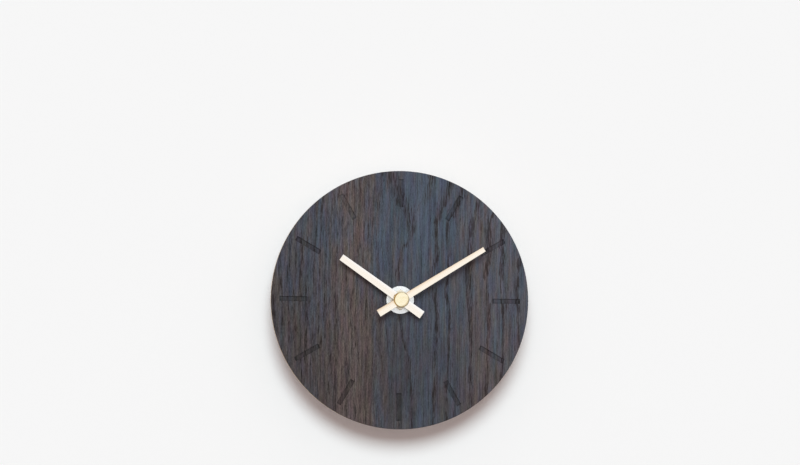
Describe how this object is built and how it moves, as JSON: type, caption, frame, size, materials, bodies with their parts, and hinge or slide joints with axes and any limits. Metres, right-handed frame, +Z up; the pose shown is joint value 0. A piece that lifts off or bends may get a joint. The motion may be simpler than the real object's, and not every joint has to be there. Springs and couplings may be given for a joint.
{
  "type": "wooden wall clock",
  "caption": "Round wall clock: dark stained oak disc with engraved hour bars, two tapered brass hands, and a quartz movement behind it with gear train, cell, setting knob and nail hanger.",
  "frame": {"origin": "on the arbor's axis, at the plane of the wall, which is the flat outer face of the movement's rear cover", "axes": "+Y into the wall along the arbor, so the dial faces -Y; +Z up towards the twelve mark; +X to the right as seen from the front"},
  "size_m": [0.2, 0.036, 0.2],
  "materials": {
    "stained_oak": "open-grained oak veneer with a dark grey-brown stain, matt",
    "rubber": "moulded black rubber",
    "nickel": "satin nickel plate",
    "brass": "pale brushed brass",
    "black_plastic": "fine textured black moulding",
    "white_plastic": "natural acetal moulding",
    "steel": "stamped nickel-plated steel",
    "copper": "enamelled copper wire",
    "circuit_laminate": "green solder mask",
    "cell_jacket": "plain printed foil jacket with bare steel ends"
  },
  "bodies": {
    "clock_body": {"dial_board": "stained_oak", "rubber_gasket": "rubber", "dial_washer": "nickel", "hex_nut": "nickel", "stem_bush": "brass", "front_case": "black_plastic", "rear_cover": "black_plastic", "hanger": "black_plastic", "stator_upper": "steel", "stator_lower": "steel", "coil_core": "steel", "coil_bobbin": "white_plastic", "coil_winding": "copper", "circuit_board": "circuit_laminate", "chip": "black_plastic", "quartz_crystal": "steel", "positive_contact": "steel", "negative_contact": "steel"},
    "minute_works": {"minute_hand": "brass", "minute_hand_collet": "brass", "minute_arbor": "brass", "friction_spring": "steel", "cap_nut": "brass"},
    "hour_works": {"hour_hand": "brass", "hour_hand_collet": "brass", "hour_wheel": "white_plastic"},
    "motion_wheel": {"minute_wheel": "white_plastic"},
    "setting_works": {"set_knob": "black_plastic", "set_arbor": "white_plastic"},
    "centre": {"centre_wheel": "white_plastic"},
    "third": {"third_wheel": "white_plastic"},
    "second": {"second_wheel": "white_plastic"},
    "intermediate": {"intermediate_wheel": "white_plastic"},
    "rotor": {"rotor_pinion": "white_plastic", "rotor_magnet": "steel"},
    "battery": {"battery_cell": "cell_jacket"}
  },
  "joints": [
    {"name": "minute_hand_turn", "type": "hinge", "parent": "clock_body", "child": "minute_works", "pos_m": [0, -0.03, 0], "axis": [0, 1, 0], "continuous": true},
    {"name": "hour_hand_turn", "type": "hinge", "parent": "clock_body", "child": "hour_works", "pos_m": [0, -0.03, 0], "axis": [0, 1, 0], "continuous": true},
    {"name": "minute_wheel_turn", "type": "hinge", "parent": "clock_body", "child": "motion_wheel", "pos_m": [-0.00259, -0.012, 0.00966], "axis": [0, 1, 0], "continuous": true},
    {"name": "set_knob_turn", "type": "hinge", "parent": "clock_body", "child": "setting_works", "pos_m": [-0.00518, -0.006, 0.01932], "axis": [0, 1, 0], "continuous": true},
    {"name": "second_wheel_turn", "type": "hinge", "parent": "clock_body", "child": "second", "pos_m": [0, -0.007, 0], "axis": [0, 1, 0], "continuous": true},
    {"name": "third_wheel_turn", "type": "hinge", "parent": "clock_body", "child": "third", "pos_m": [-0.0104, -0.009, 0], "axis": [0, 1, 0], "continuous": true},
    {"name": "centre_wheel_turn", "type": "hinge", "parent": "clock_body", "child": "centre", "pos_m": [0, -0.01, 0], "axis": [0, 1, 0], "continuous": true},
    {"name": "intermediate_wheel_turn", "type": "hinge", "parent": "clock_body", "child": "intermediate", "pos_m": [0.00852, -0.006, 0.00597], "axis": [0, 1, 0], "continuous": true},
    {"name": "rotor_turn", "type": "hinge", "parent": "clock_body", "child": "rotor", "pos_m": [0.01272, -0.004, 0.01324], "axis": [0, 1, 0], "continuous": true},
    {"name": "battery_slide", "type": "slide", "parent": "clock_body", "child": "battery", "axis": [0, 1, 0], "range_m": [0, 0.018]}
  ],
  "couplings": [
    {"joint": "hour_hand_turn", "follows": "minute_hand_turn", "ratio": 0.083333},
    {"joint": "minute_wheel_turn", "follows": "minute_hand_turn", "ratio": -0.33333},
    {"joint": "set_knob_turn", "follows": "minute_hand_turn", "ratio": 1},
    {"joint": "third_wheel_turn", "follows": "second_wheel_turn", "ratio": -0.13333},
    {"joint": "centre_wheel_turn", "follows": "second_wheel_turn", "ratio": 0.016667},
    {"joint": "intermediate_wheel_turn", "follows": "second_wheel_turn", "ratio": -5},
    {"joint": "rotor_turn", "follows": "second_wheel_turn", "ratio": 30}
  ]
}
